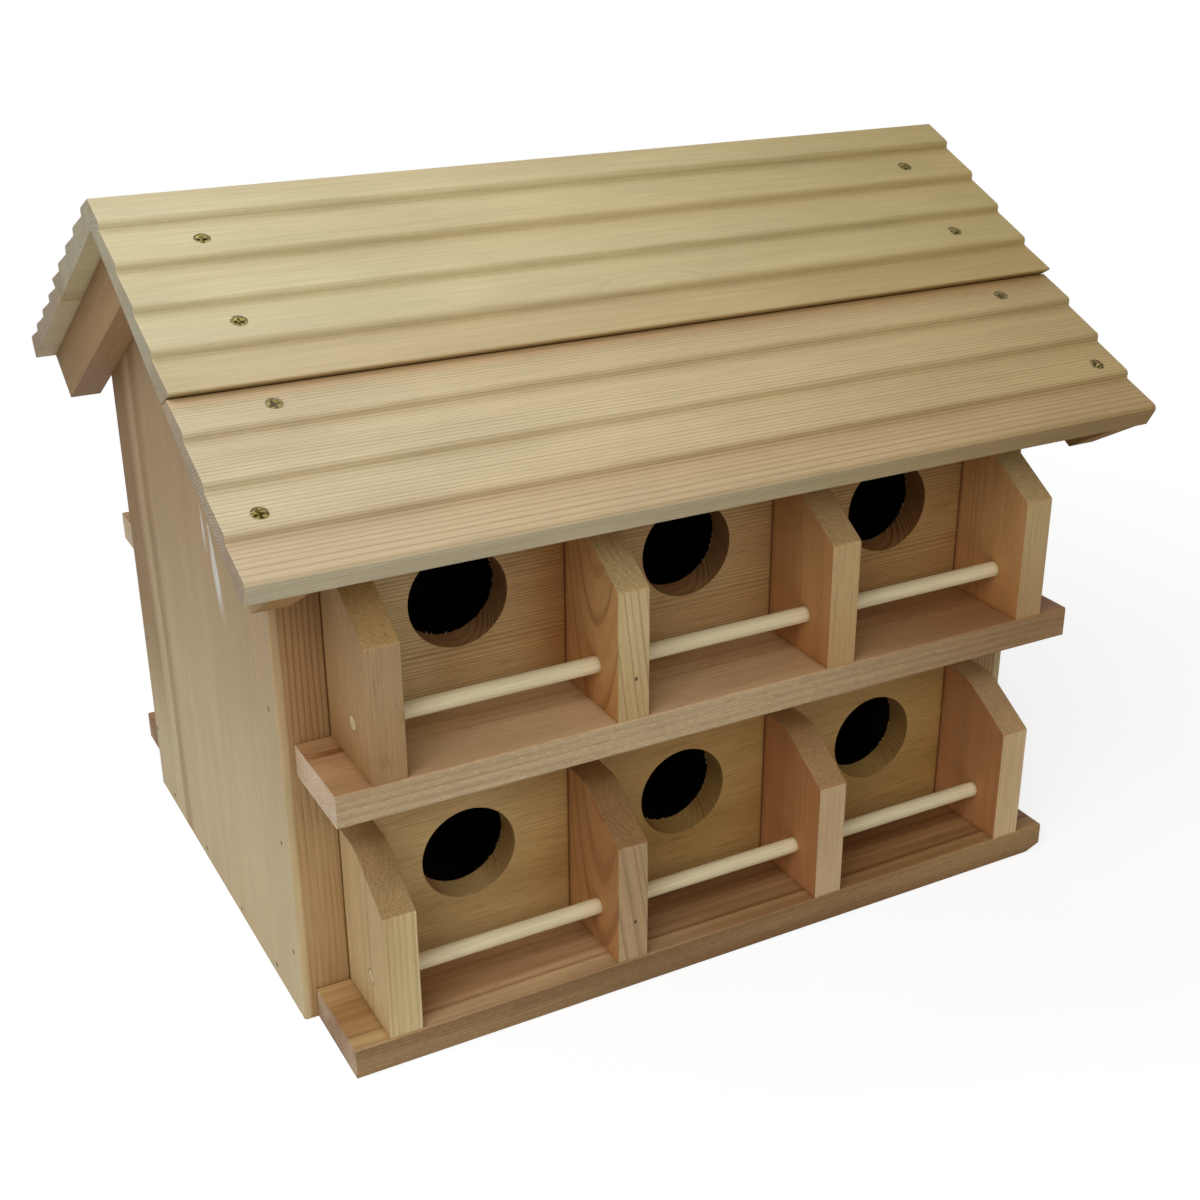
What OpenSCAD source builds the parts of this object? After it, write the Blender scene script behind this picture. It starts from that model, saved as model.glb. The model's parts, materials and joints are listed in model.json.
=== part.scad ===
// Purple martin birdhouse: two storeys of rooms under a ribbed gable roof, with a porch along each storey.
// X runs along the ridge, -Y is the front, +Z is up. The origin is the middle of the underside.

/* [House] */
// Length of the house over the outer faces of its end walls
house_length = 494; // [430:2:640]
// Depth of the house over the edges of its end walls
house_depth = 305; // [260:1:380]
// Height of the upper floor's top face above the ground
upper_floor_z = 176.5; // [160:0.5:230]
// Height of the end walls at their front and back edges
eave_height = 337; // [325:1:420]

/* [Boards] */
// Thickness of the end walls
end_wall_t = 28.4; // [19:0.2:38]
// Thickness of the front and back panels
panel_t = 19; // [12:0.5:25]
// Thickness of the two floors
floor_t = 19; // [12:0.5:25]
// Thickness of the partitions between the rooms
partition_t = 12.5; // [6:0.5:19]
// Bevel that eases the long arrises of the boards
edge_ease = 0.8; // [0.2:0.1:2]

/* [Entrances] */
// Diameter of an entrance hole
entrance_d = 58; // [44:1:64]
// Distance between neighbouring entrances
entrance_pitch = 142.5; // [135:0.5:150]
// Height of a lower entrance's centre above its floor
lower_entrance_h = 60.5; // [50:0.5:75]
// Height of an upper entrance's centre above its floor
upper_entrance_h = 64; // [50:0.5:90]

/* [Porches] */
// Height by which the back porches stand above the front ones
back_porch_rise = 5; // [0:0.5:8]
// Depth of a porch shelf, out from the wall
shelf_depth = 62.5; // [50:0.5:90]
// Thickness of a porch shelf
shelf_t = 19; // [12:0.5:25]
// Distance from the end wall's outer face to the end of a shelf
shelf_inset = 8; // [2:0.5:20]
// Width of the corner that has split off the front lower shelf
split_width = 12; // [4:1:30]
// Height of the corner that has split off the front lower shelf
split_height = 5; // [2:0.5:8]
// Thickness of a porch divider
divider_t = 19; // [12:0.5:25]
// Height of a divider at the wall
divider_height = 100; // [90:0.5:120]
// Height of a divider's front edge, up to its corner
divider_front_height = 76.5; // [50:0.5:85]
// Width of a divider's level top, up to the point where its slope begins
divider_top = 23; // [12:0.5:40]
// Radius where the level top turns into the slope
divider_top_r = 22; // [4:1:40]
// Radius of the corner between the slope and the front edge
divider_nose_r = 2.5; // [0.5:0.5:6]
// Distance that a divider's front edge stands back from the shelf's
divider_setback = 0.8; // [0:0.1:6]
// Distance between the centres of the two middle dividers
middle_bay = 137; // [120:0.5:160]
// Diameter of a perch
perch_d = 9.5; // [6:0.5:16]
// Distance from the wall to a perch's axis
perch_out = 37; // [20:0.5:45]
// Height of a perch's axis above its shelf
perch_up = 25; // [15:0.5:40]

/* [Roof] */
// Slope of the roof in degrees
roof_pitch = 29.3; // [20:0.1:35]
// Length of the roof along the ridge
roof_length = 553.5; // [540:0.5:720]
// Distance by which the roof stands to the left of the house's middle
roof_shift = 2; // [0:0.5:6]
// Length of a slope along its underside, from ridge to eave
slope_length = 261; // [235:1:330]
// Thickness of an upper roof board at the lips of its ribs
upper_roof_t = 16.8; // [13:0.2:24]
// Thickness of a lower roof board at the lips of its ribs
lower_roof_t = 14; // [12:0.2:22]
// Width of a full rib, from one step to the next
rib_pitch = 32.4; // [28:0.1:34]
// Width of the ribs on either side of the seam
seam_rib_w = 28.3; // [20:0.1:30]
// Width of the rib along the eave
eave_rib_w = 29.9; // [22:0.1:32]
// Depth of the step below a rib's lip
rib_drop = 3.7; // [2.5:0.1:5]
// Distance down the slope from the centre of a rib's lip to the centre of the cove below it
rib_step = 4; // [3.8:0.1:7]
// Radius of a rib's lip
lip_r = 2.5; // [1:0.1:2.6]
// Radius of the cove at the foot of a step
cove_r = 1; // [0.5:0.1:1.2]
// Radius along the eave
eave_r = 3; // [0.5:0.5:5]
// Radius along the lower edge of an upper roof board
upper_edge_r = 0.8; // [0.2:0.1:2]
// Ribs on a lower roof board
lower_board_ribs = 4; // [3:1:5]
// Gap between the two boards of a slope
seam_gap = 1.2; // [0.4:0.1:3]
// Angle at which the boards of a slope lap at their seam
seam_bevel = 30; // [0:1:40]
// Thickness of a roof batten, out from the end wall
batten_t = 19; // [10:0.5:25]
// Depth of a roof batten below the boards
batten_depth = 34; // [25:0.5:50]
// Angle off square of a batten's lower end
batten_bevel = 30; // [0:1:40]

/* [Screw Holes] */
// Diameter of the countersink for a roof screw's head
countersink_d = 9; // [7:0.1:11]
// Depth of a countersink's rim below the board's surface
countersink_depth = 1; // [0:0.1:2]
// Diameter of a screw hole below its countersink
screw_hole_d = 4; // [3:0.1:5]
// Distance down the slope from the ridge to the first screws
first_screws = 32; // [26:0.5:38]
// Distance down the slope between the first and the second screws
second_screws = 63.5; // [56:0.5:70]
// Distance from the seam down to the third screws
third_screws = 14.5; // [10:0.5:20]
// Distance from the eave up to the last screws
last_screws = 41.5; // [35:0.5:50]
// Distance by which the screws into the end walls stand inwards of their middle
wall_screw_shift = 3.3; // [0:0.1:8]
// Distance by which the screws into the battens stand outwards of their middle
batten_screw_shift = 2; // [0:0.1:4]

/* [Hidden] */

wood = "BurlyWood";
dark_wood = "Tan";
pale_wood = "Wheat";

inner_length = house_length - 2 * end_wall_t;
inner_depth = house_depth - 2 * panel_t;
wall_y = house_depth / 2;
ridge_z = eave_height + wall_y * tan(roof_pitch);
panel_joint_z = upper_floor_z - floor_t / 2;
end_divider_x = inner_length / 2 - divider_t / 2;
divider_xs = [-end_divider_x, -middle_bay / 2, middle_bay / 2, end_divider_x];
divider_depth = shelf_depth - divider_setback;
shelf_length = house_length - 2 * shelf_inset;
perch_length = 2 * end_divider_x + divider_t;
wall_x = (house_length - end_wall_t) / 2;
batten_x = (house_length + batten_t) / 2;
wall_screw_x = wall_x - wall_screw_shift;
batten_screw_x = batten_x + batten_screw_shift;
step_height = lip_r + cove_r - rib_drop;
step_fall = asin((lip_r + cove_r) / norm([rib_step, step_height])) - atan2(step_height, rib_step);
// Distances down the slope to the steps of a lower board, from the eave up, and to its top edge
last_step = slope_length - eave_rib_w;
first_step = last_step - (lower_board_ribs - 2) * rib_pitch;
lower_steps = [slope_length, for (i = [0 : lower_board_ribs - 2]) last_step - i * rib_pitch];
lower_board_top = first_step - seam_rib_w;
// Distance down the slope to an upper board's lower edge, which laps over the lower board
lap = (upper_roof_t - lower_roof_t + rib_drop) * tan(seam_bevel);
upper_board_edge = lower_board_top + lap - seam_gap;
upper_step = upper_board_edge - seam_rib_w;
upper_ribs = ceil((upper_step + upper_roof_t) / rib_pitch);
upper_steps = [upper_board_edge, for (i = [0 : upper_ribs - 1]) upper_step - i * rib_pitch];
upper_board_top = upper_step - upper_ribs * rib_pitch;
// Length by which one solid runs past another that it cuts
over = 1;
round_fn = 64;

// Points of an arc round c, from the angle a to the angle b
function arc(c, r, a, b, steps) =
    [for (i = [0 : steps]) c + r * [cos(a + (b - a) * i / steps), sin(a + (b - a) * i / steps)]];

// Extrudes a section, drawn with Y to the right and Z up, along X about the middle
module along_x(length) {
    rotate([90, 0, 90])
        linear_extrude(length, center = true)
            children();
}

// Rectangle with a corner at the origin and its four corners bevelled
module eased_rectangle(w, h, e = edge_ease) {
    polygon([[e, 0], [w - e, 0], [w, e], [w, h - e], [w - e, h], [e, h], [0, h - e], [0, e]]);
}

// Everything of the back is the front turned over about the ridge's plane
module back() {
    mirror([0, 1, 0]) children();
}

module back_porch() {
    back() translate([0, 0, back_porch_rise]) children();
}

module gable_section() {
    polygon([
        [-wall_y, 0], [wall_y, 0], [wall_y, eave_height], [0, ridge_z], [-wall_y, eave_height]
    ]);
}

// End wall with its inner face at x = 0, eased along its upright arrises
module end_wall() {
    color(wood)
        intersection() {
            translate([-end_wall_t / 2, 0, 0])
                along_x(end_wall_t) gable_section();
            translate([-end_wall_t, -wall_y, 0])
                linear_extrude(ridge_z) eased_rectangle(end_wall_t, house_depth);
        }
}

module left_end_wall() {
    translate([-inner_length / 2, 0, 0]) end_wall();
}

module right_end_wall() {
    mirror([1, 0, 0]) left_end_wall();
}

module floor_slab(top_z) {
    color(wood)
        translate([-inner_length / 2, -inner_depth / 2, top_z - floor_t])
            cube([inner_length, inner_depth, floor_t]);
}

// Front panel between two heights, cut to the slope at its top and bored for its entrances
module panel(bottom_z, top_z, entrance_z) {
    color(wood)
        difference() {
            intersection() {
                translate([-inner_length / 2, -wall_y, bottom_z])
                    cube([inner_length, panel_t, top_z - bottom_z]);
                along_x(house_length) gable_section();
            }
            for (i = [-1 : 1])
                translate([i * entrance_pitch, -wall_y - over, entrance_z])
                    rotate([-90, 0, 0])
                        cylinder(d = entrance_d, h = panel_t + 2 * over, $fn = round_fn);
        }
}

module lower_panel() {
    panel(0, panel_joint_z, floor_t + lower_entrance_h);
}

module upper_panel() {
    panel(panel_joint_z, ridge_z, upper_floor_z + upper_entrance_h);
}

// Rooms of one storey seen in plan, as the spine or as the four walls that meet it
module spine_plan() {
    square([inner_length, partition_t], center = true);
}

module cross_plan() {
    half = (inner_depth - partition_t) / 2;
    for (side = [-1, 1], x = [-1, 1])
        translate([x * middle_bay / 2, side * (partition_t + half) / 2])
            square([partition_t, half], center = true);
}

module storey_partition(bottom_z, top_z) {
    color(dark_wood)
        intersection() {
            translate([0, 0, bottom_z])
                linear_extrude(top_z - bottom_z) children();
            along_x(house_length) gable_section();
        }
}

module lower_partition() {
    storey_partition(floor_t, upper_floor_z - floor_t) children();
}

module upper_partition() {
    storey_partition(upper_floor_z, ridge_z) children();
}

// Porch shelf whose top is at top_z, with its back edge against the wall
module shelf(top_z) {
    color(wood)
        translate([0, -wall_y - shelf_depth, top_z - shelf_t])
            along_x(shelf_length) eased_rectangle(shelf_depth, shelf_t);
}

// Front lower shelf, with the corner split off below its right end
module split_shelf() {
    color(wood)
        difference() {
            shelf(shelf_t);
            translate([shelf_length / 2, -wall_y - shelf_depth / 2, 0])
                rotate([90, 0, 0])
                    linear_extrude(shelf_depth + 2 * over, center = true)
                        polygon([
                            [-split_width, -over], [over, -over], [over, split_height],
                            [0, split_height], [-split_width, 0]
                        ]);
        }
}

// Outline of a divider, with the wall at y = 0 and the shelf at z = 0
module divider_outline() {
    slope = atan2(divider_height - divider_front_height, divider_depth - divider_top);
    top_run = divider_top_r * tan(slope / 2);
    nose_run = divider_nose_r * tan((90 - slope) / 2);
    top_c = [-divider_top + top_run, divider_height - divider_top_r];
    nose_c = [-divider_depth + divider_nose_r, divider_front_height - nose_run];
    polygon(concat(
        [[0, 0], [0, divider_height]],
        arc(top_c, divider_top_r, 90, 90 + slope, 6),
        arc(nose_c, divider_nose_r, 90 + slope, 180, 5),
        [[-divider_depth, 0]]
    ));
}

// Divider number i of a front porch, standing on the shelf at shelf_z and bored for the perch
module divider(i, shelf_z) {
    color(wood)
        translate([divider_xs[i - 1], -wall_y, shelf_z])
            difference() {
                along_x(divider_t) divider_outline();
                translate([0, -perch_out, perch_up])
                    rotate([0, 90, 0])
                        cylinder(d = perch_d, h = divider_t + 2 * over, center = true, $fn = round_fn);
            }
}

module perch(shelf_z) {
    color(pale_wood)
        translate([0, -wall_y - perch_out, shelf_z + perch_up])
            rotate([0, 90, 0])
                cylinder(d = perch_d, h = perch_length, center = true, $fn = round_fn);
}

// Places a section drawn on the front slope: -Y is down the slope from the ridge, +Z is out of its underside
module on_front_slope() {
    translate([0, 0, ridge_z])
        rotate([roof_pitch, 0, 0])
            children();
}

// Angle at which a flank rises from the rounding at start_c to the lip at lip_c
function flank_rise(start_c, start_r, lip_c, r) =
    let (reach = lip_c - start_c)
    atan2(reach[1], -reach[0]) + asin((start_r + r) / norm(reach));

// Centres of the roundings at a step that lies down the slope by down, on a board t thick
function lip_centre(down, t, r) = [r - down, t - r];
function cove_centre(down, t) = [lip_r - rib_step - down, t - rib_drop + cove_r];

// Cove at the foot of a step
function cove(down, t, rise) = arc(cove_centre(down, t), cove_r, 270 + step_fall, 270 - rise, 4);

// Rounded lip at the top of a step
function lip(down, t, rise) = arc(lip_centre(down, t, lip_r), lip_r, 90 - rise, 90 + step_fall, 5);

// Top surface of a rib between two steps: cove, flank and rounded lip, going down the slope
function rib(above, below, t) =
    let (rise = flank_rise(cove_centre(above, t), cove_r, lip_centre(below, t, lip_r), lip_r))
    concat(cove(above, t, rise), lip(below, t, rise));

// First rib of a board, whose flank starts at the board's top edge
function top_rib(top, below, t) =
    let (
        start = [-top, t - rib_drop],
        rise = flank_rise(start, 0, lip_centre(below, t, lip_r), lip_r)
    )
    concat([start], lip(below, t, rise));

// Last rib of a board, rounded over by r into the board's lower edge
function edge_rib(above, edge, t, r) =
    let (
        lip_c = lip_centre(edge, t, r),
        rise = flank_rise(cove_centre(above, t), cove_r, lip_c, r)
    )
    concat(cove(above, t, rise), arc(lip_c, r, 90 - rise, 180, 6));

// Section of a roof board t thick from its top edge to its lower edge, the first of its steps.
// Its edges lean back below by the angles given.
module ribbed_section(top, steps, t, edge_r, top_lean, bottom_lean) {
    last = len(steps) - 1;
    polygon(concat(
        top_rib(top, steps[last], t),
        [for (i = [last : -1 : 2]) each rib(steps[i], steps[i - 1], t)],
        edge_rib(steps[1], steps[0], t, edge_r),
        [[(t - edge_r) * tan(bottom_lean) - steps[0], 0]],
        [[(t - rib_drop) * tan(top_lean) - top, 0]]
    ));
}

// Thickness on a flank at a distance down the slope, on a board t thick with a step at step
function flank_t(down, t, step) = t - rib_drop * ((step - down) % rib_pitch) / rib_pitch;

// Countersunk holes at x on either side, at a distance down the front slope, where the board is board_t thick
module screw_holes(x, down, board_t) {
    rim_h = board_t - countersink_depth;
    cone_h = (countersink_d - screw_hole_d) / 2;
    for (side = [-1, 1])
        translate([side * x, -down, 0]) {
            translate([0, 0, -over])
                cylinder(d = screw_hole_d, h = rim_h, $fn = round_fn);
            translate([0, 0, rim_h - cone_h])
                cylinder(d1 = screw_hole_d, d2 = countersink_d, h = cone_h, $fn = round_fn);
            translate([0, 0, rim_h])
                cylinder(d = countersink_d, h = upper_roof_t, $fn = round_fn);
        }
}

// Upper roof board, cut plumb where it meets its twin at the ridge
module upper_roof_board() {
    color(pale_wood)
        difference() {
            translate([-roof_shift, 0, 0])
                on_front_slope()
                    along_x(roof_length)
                        ribbed_section(
                            upper_board_top, upper_steps, upper_roof_t, upper_edge_r, 0, seam_bevel
                        );
            translate([-roof_length, 0, 0])
                cube([2 * roof_length, slope_length, 2 * ridge_z]);
            on_front_slope()
                for (down = [first_screws, first_screws + second_screws])
                    screw_holes(wall_screw_x, down, flank_t(down, upper_roof_t, upper_step));
        }
}

module lower_roof_board() {
    third = lower_board_top + third_screws;
    fourth = slope_length - last_screws;
    color(pale_wood)
        on_front_slope()
            difference() {
                translate([-roof_shift, 0, 0])
                    along_x(roof_length)
                        ribbed_section(lower_board_top, lower_steps, lower_roof_t, eave_r, seam_bevel, 0);
                screw_holes(wall_screw_x, third, flank_t(third, lower_roof_t, last_step));
                screw_holes(batten_screw_x, fourth, flank_t(fourth, lower_roof_t, last_step));
            }
}

// Batten under the front slope, against the outer face of the left wall
module left_batten() {
    color(dark_wood)
        translate([-batten_x, 0, 0])
            on_front_slope()
                along_x(batten_t)
                    polygon([
                        [0, 0], [-slope_length, 0],
                        [-slope_length + batten_depth * tan(batten_bevel), -batten_depth],
                        [-batten_depth * tan(roof_pitch), -batten_depth]
                    ]);
}

module right_batten() {
    mirror([1, 0, 0]) left_batten();
}

left_end_wall();
right_end_wall();
floor_slab(floor_t);  // floor_board
floor_slab(upper_floor_z);  // middle_floor
lower_panel();  // front_lower_panel
upper_panel();  // front_upper_panel
back() lower_panel();  // back_lower_panel
back() upper_panel();  // back_upper_panel
lower_partition() spine_plan();  // lower_spine_partition
upper_partition() spine_plan();  // upper_spine_partition
lower_partition() cross_plan();  // lower_cross_partitions
upper_partition() cross_plan();  // upper_cross_partitions
split_shelf();  // front_lower_shelf
shelf(upper_floor_z);  // front_upper_shelf
back_porch() shelf(shelf_t);  // back_lower_shelf
back_porch() shelf(upper_floor_z);  // back_upper_shelf
for (i = [1 : 4]) {
    divider(i, shelf_t);
    divider(i, upper_floor_z);
    back_porch() divider(i, shelf_t);
    back_porch() divider(i, upper_floor_z);
}
perch(shelf_t);  // front_lower_perch
perch(upper_floor_z);  // front_upper_perch
back_porch() perch(shelf_t);  // back_lower_perch
back_porch() perch(upper_floor_z);  // back_upper_perch
upper_roof_board();  // front_upper_roof_board
lower_roof_board();  // front_lower_roof_board
back() upper_roof_board();  // back_upper_roof_board
back() lower_roof_board();  // back_lower_roof_board
left_batten();  // front_left_batten
right_batten();  // front_right_batten
back() left_batten();  // back_left_batten
back() right_batten();  // back_right_batten
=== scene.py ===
import json
import math
import random

import bmesh
import bpy
from mathutils import Matrix, Vector


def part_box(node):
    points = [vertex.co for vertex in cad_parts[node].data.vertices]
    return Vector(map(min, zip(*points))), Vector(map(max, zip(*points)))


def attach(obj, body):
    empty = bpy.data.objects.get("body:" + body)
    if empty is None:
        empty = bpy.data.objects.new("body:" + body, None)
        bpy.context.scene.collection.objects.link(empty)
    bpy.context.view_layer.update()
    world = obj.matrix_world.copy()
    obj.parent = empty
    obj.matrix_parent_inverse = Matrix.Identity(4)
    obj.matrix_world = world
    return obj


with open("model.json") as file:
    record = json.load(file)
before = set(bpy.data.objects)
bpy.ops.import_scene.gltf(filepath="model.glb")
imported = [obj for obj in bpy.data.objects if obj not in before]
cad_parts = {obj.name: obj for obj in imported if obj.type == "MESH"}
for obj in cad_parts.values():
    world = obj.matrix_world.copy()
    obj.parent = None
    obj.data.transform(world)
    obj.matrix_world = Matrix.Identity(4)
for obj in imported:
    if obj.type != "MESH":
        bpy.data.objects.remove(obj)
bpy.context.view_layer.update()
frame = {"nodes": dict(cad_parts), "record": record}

MM = 0.001
nodes = frame["nodes"]


# ---------------------------------------------------------------- the model's own measures

def low(node):
    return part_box(node)[0]


def high(node):
    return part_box(node)[1]


WALL_Y = high("left_end_wall").y
WALL_X = high("right_end_wall").x
RIDGE_Z = high("left_end_wall").z
PANEL_T = high("front_lower_panel").y - low("front_lower_panel").y
PITCH = math.atan2(RIDGE_Z - high("front_upper_panel").z, WALL_Y - PANEL_T)
SLOPE = (RIDGE_Z - low("front_lower_roof_board").z) / math.sin(PITCH)
ENTRANCE_R = 29 * MM
SCREW_R = 4.2 * MM
SCREW_SINK = 0.95 * MM
# Reach of the painted shade in creases, radius of the eased edges, and strength and depth of the grain's
# relief
CREASE_SHADE_REACH = 4 * MM
EASED_EDGE = 0.7 * MM
GRAIN_STRENGTH = 0.6
GRAIN_DEPTH = 0.12 * MM
PORCHES = [(side, storey) for side in ("front", "back") for storey in ("lower", "upper")]
ENTRANCES = [
    (opening["name"].rsplit("_", 2)[0], (Vector(opening["box_m"][0]) + Vector(opening["box_m"][1])) / 2)
    for opening in frame["record"]["physics"]["openings"] if opening["name"].endswith("_entrance")
]


def down_slope(side):
    return Vector((0, side * math.cos(PITCH), -math.sin(PITCH)))


def out_of_slope(side):
    return Vector((0, side * math.sin(PITCH), math.cos(PITCH)))


# ---------------------------------------------------------------- node trees

def colour(red, green, blue):
    """A linear colour from 0-255 display values."""
    return (*(((c / 255 + 0.055) / 1.055) ** 2.4 for c in (red, green, blue)), 1.0)


def put(tree, socket, value):
    """Links an output to a socket, or sets the socket's own value."""
    if isinstance(value, bpy.types.NodeSocket):
        tree.links.new(value, socket)
    else:
        socket.default_value = value


def add(tree, kind, inputs=None, **settings):
    """A shader node; inputs maps a socket's name or index to a value or to another node's output."""
    node = tree.nodes.new("ShaderNode" + kind)
    for key, value in settings.items():
        setattr(node, key, value)
    for key, value in (inputs or {}).items():
        put(tree, node.inputs[key], value)
    return node


def calc(tree, operation, *values):
    return add(tree, "Math", dict(enumerate(values)), operation=operation).outputs[0]


def vector(tree, operation, *values):
    node = add(tree, "VectorMath", dict(enumerate(values)), operation=operation)
    return node.outputs["Value" if operation in ("LENGTH", "DISTANCE", "DOT_PRODUCT") else "Vector"]


def spread(tree, value, low_in, high_in, low_out=0.0, high_out=1.0, smooth=True):
    """value moved from one range to another, and held inside it."""
    return add(
        tree, "MapRange",
        {"Value": value, "From Min": low_in, "From Max": high_in, "To Min": low_out, "To Max": high_out},
        interpolation_type="SMOOTHSTEP" if smooth else "LINEAR",
    ).outputs["Result"]


def noise(tree, place, frequency, detail=2.0, output="Fac"):
    """Noise with frequency features per metre along each of the board's axes."""
    stretched = vector(tree, "MULTIPLY", place, frequency)
    return add(tree, "TexNoise", {"Vector": stretched, "Scale": 1.0, "Detail": detail}).outputs[output]


def blend(tree, factor, first, second, mode="MIX"):
    node = add(tree, "Mix", data_type="RGBA", blend_type=mode, clamp_factor=True)
    for socket, value in ((0, factor), (6, first), (7, second)):
        put(tree, node.inputs[socket], value)
    return node.outputs[2]


def grey(tree, value):
    return add(tree, "CombineColor", {0: value, 1: value, 2: value}).outputs[0]


def product(tree, *values):
    total = values[0]
    for value in values[1:]:
        total = calc(tree, "MULTIPLY", total, value)
    return total


def grain_group():
    """Cedar as a solid: rings about a pith that runs along X, in the board's own metres."""
    tree = bpy.data.node_groups.new("cedar_grain", "ShaderNodeTree")
    for name, kind in (
        ("Board", "Vector"), ("Grain Normal", "Float"), ("Ring", "Float"), ("Wander", "Float"),
        ("Contrast", "Float"), ("Thin", "Float"), ("Patch", "Float"), ("Even", "Float"), ("Streak", "Float"),
        ("Fleck", "Float"), ("End Rings", "Float"),
        ("Early", "Color"), ("Late", "Color"), ("Tint", "Color"), ("End", "Color"),
    ):
        tree.interface.new_socket(name, in_out="INPUT", socket_type="NodeSocket" + kind)
    for name, kind in (("Color", "Color"), ("Roughness", "Float"), ("Height", "Float")):
        tree.interface.new_socket(name, in_out="OUTPUT", socket_type="NodeSocket" + kind)
    given = tree.nodes.new("NodeGroupInput").outputs
    board = given["Board"]

    wide = vector(tree, "SUBTRACT", noise(tree, board, (1.6, 9, 9), 1.0, "Color"), (0.5, 0.5, 0.5))
    fine = vector(tree, "SUBTRACT", noise(tree, board, (22, 90, 90), 2.0, "Color"), (0.5, 0.5, 0.5))
    drift = vector(tree, "ADD", wide, vector(tree, "MULTIPLY", fine, (0.07, 0.07, 0.07)))
    wander = add(tree, "VectorMath", {0: drift, "Scale": given["Wander"]}, operation="SCALE").outputs[0]
    cross = vector(tree, "MULTIPLY", vector(tree, "ADD", board, wander), (0, 1, 1))
    radius = vector(tree, "LENGTH", cross)
    uneven = add(
        tree, "TexNoise", {"W": calc(tree, "MULTIPLY", radius, 45.0), "Scale": 1.0, "Detail": 1.0},
        noise_dimensions="1D",
    ).outputs["Fac"]
    years = calc(tree, "DIVIDE", radius, given["Ring"])
    phase = calc(tree, "ADD", years, calc(tree, "MULTIPLY", uneven, 4.0))
    within = calc(tree, "FRACT", phase)
    late = product(tree, spread(tree, within, given["Thin"], 0.88), spread(tree, within, 1.0, 0.93))
    whole = calc(tree, "FLOOR", phase)
    year = add(tree, "TexWhiteNoise", {"W": whole}, noise_dimensions="1D").outputs["Value"]
    patchy = spread(tree, noise(tree, board, (4, 16, 16), 2.0), 0.3, 0.62, given["Patch"], 1.0)
    lines = product(tree, late, spread(tree, year, 0, 1, given["Even"], 1.0), patchy)

    end = spread(tree, calc(tree, "ABSOLUTE", given["Grain Normal"]), 0.35, 0.75)
    tone = spread(tree, noise(tree, board, (1.2, 30, 30), 3.0), 0.34, 0.66)
    base = blend(tree, calc(tree, "MULTIPLY", tone, given["Streak"]), given["Early"], given["Tint"])
    at_end = calc(tree, "MULTIPLY", end, given["End Rings"])
    strength = calc(tree, "MULTIPLY", lines, calc(tree, "ADD", given["Contrast"], at_end))
    ringed = blend(tree, strength, base, given["Late"])
    fibre = noise(tree, board, (22, 900, 900), 2.0)
    cloud = noise(tree, board, (9, 34, 34), 3.0)
    mottle = calc(tree, "MULTIPLY", spread(tree, fibre, 0.25, 0.75, 0.93, 1.06),
                  spread(tree, cloud, 0.3, 0.7, 0.95, 1.05))
    fibred = blend(tree, 1.0, ringed, grey(tree, mottle), "MULTIPLY")
    fleck = spread(tree, noise(tree, board, (90, 480, 480), 1.0), 0.58, 0.72)
    flecked = blend(tree, calc(tree, "MULTIPLY", fleck, given["Fleck"]), fibred, given["Late"])
    speck = spread(tree, noise(tree, board, (1300, 1300, 1300), 2.0), 0.3, 0.7, 0.80, 1.08)
    sawn = add(tree, "CombineXYZ", {
        0: calc(tree, "MULTIPLY", vector(tree, "DOT_PRODUCT", board, (0, 0.7, 0.7)), 1500.0),
        1: calc(tree, "MULTIPLY", vector(tree, "DOT_PRODUCT", board, (0, 0.7, -0.7)), 260.0),
    }).outputs[0]
    teeth = add(tree, "TexNoise", {"Vector": sawn, "Scale": 1.0, "Detail": 1.0}).outputs["Fac"]
    hatch = spread(tree, teeth, 0.36, 0.62, 0.88, 1.05)
    end_tint = blend(tree, 1.0, given["End"], grey(tree, calc(tree, "MULTIPLY", speck, hatch)), "MULTIPLY")
    shown = blend(tree, end, flecked, blend(tree, 1.0, flecked, end_tint, "MULTIPLY"))

    rough = calc(tree, "ADD", calc(tree, "ADD", 0.58, calc(tree, "MULTIPLY", end, 0.18)),
                 calc(tree, "MULTIPLY", lines, -0.08))
    relief = calc(tree, "ADD", calc(tree, "MULTIPLY", lines, -0.5), fibre)
    relief = calc(tree, "ADD", relief, product(tree, speck, end, 1.5))
    out = tree.nodes.new("NodeGroupOutput").inputs
    tree.links.new(shown, out["Color"])
    tree.links.new(rough, out["Roughness"])
    tree.links.new(relief, out["Height"])
    return tree


GRAIN = grain_group()


def axes(grain, width, thickness):
    return Vector(grain).normalized(), Vector(width).normalized(), Vector(thickness).normalized()


FLAT = axes((1, 0, 0), (0, 1, 0), (0, 0, 1))
FACING = axes((1, 0, 0), (0, 0, 1), (0, 1, 0))
UPRIGHT = axes((0, 0, 1), (0, 1, 0), (1, 0, 0))


def slope_axes(side, grain_down=False):
    """Axes of a board on the front (side -1) or back (side 1) slope."""
    down, out = down_slope(side), out_of_slope(side)
    return axes(down, out, (1, 0, 0)) if grain_down else axes((1, 0, 0), down, out)


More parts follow.
